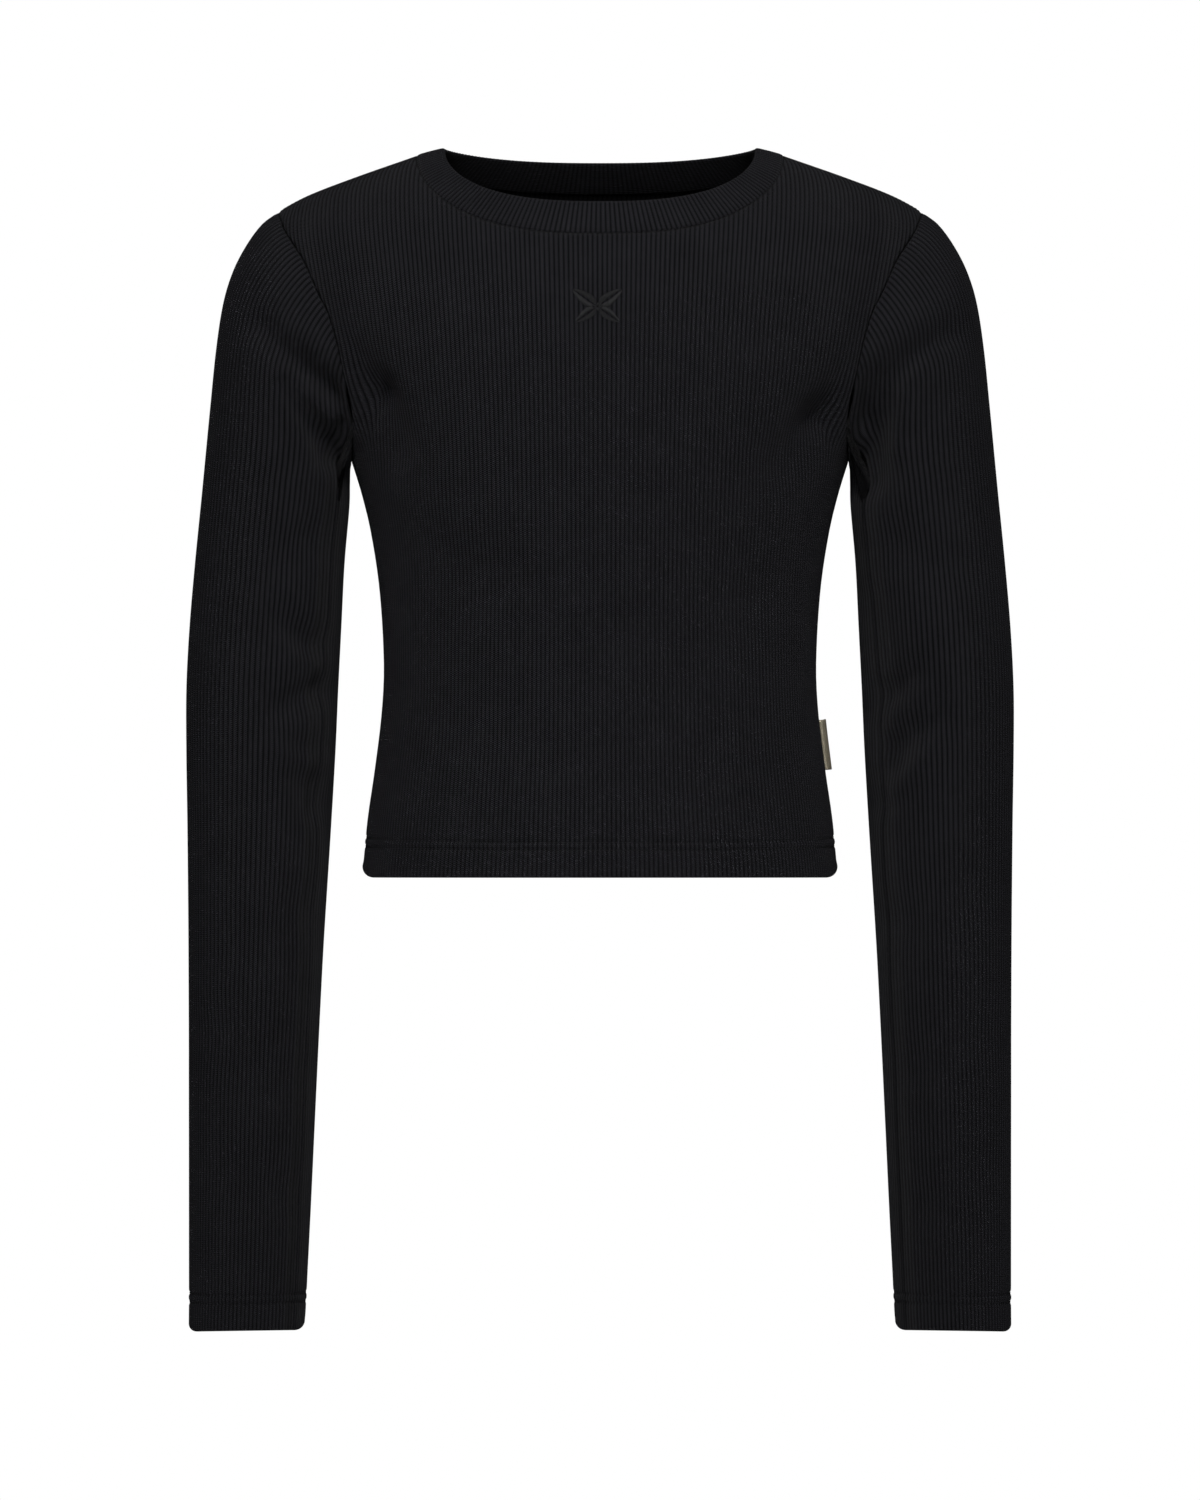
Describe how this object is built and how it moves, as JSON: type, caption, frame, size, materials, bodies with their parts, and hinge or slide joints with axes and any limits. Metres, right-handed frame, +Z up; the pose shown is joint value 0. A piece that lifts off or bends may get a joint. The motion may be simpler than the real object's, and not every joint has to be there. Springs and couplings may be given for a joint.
{
  "type": "crop top",
  "caption": "Cropped rib-knit top with long fitted sleeves, a round ribbed neckband, turned hems and a small tab in one side seam.",
  "frame": {"origin": "on the centre plane, level with the high points of the shoulders and in the plane of the shoulder seams", "axes": "+Z up, -Y to the front, +X to the wearer's left"},
  "size_m": [0.4134, 0.1753, 0.591],
  "materials": {
    "rib_knit": "matte charcoal-black 1x1 rib knit",
    "neck_rib": "matte charcoal-black rib, folded",
    "label_weave": "gold-coloured woven tape with a metallic thread"
  },
  "bodies": {
    "root": {"front": "rib_knit", "back": "rib_knit", "sleeve_left": "rib_knit", "sleeve_right": "rib_knit", "neckband": "neck_rib", "side_label": "label_weave"}
  },
  "joints": []
}
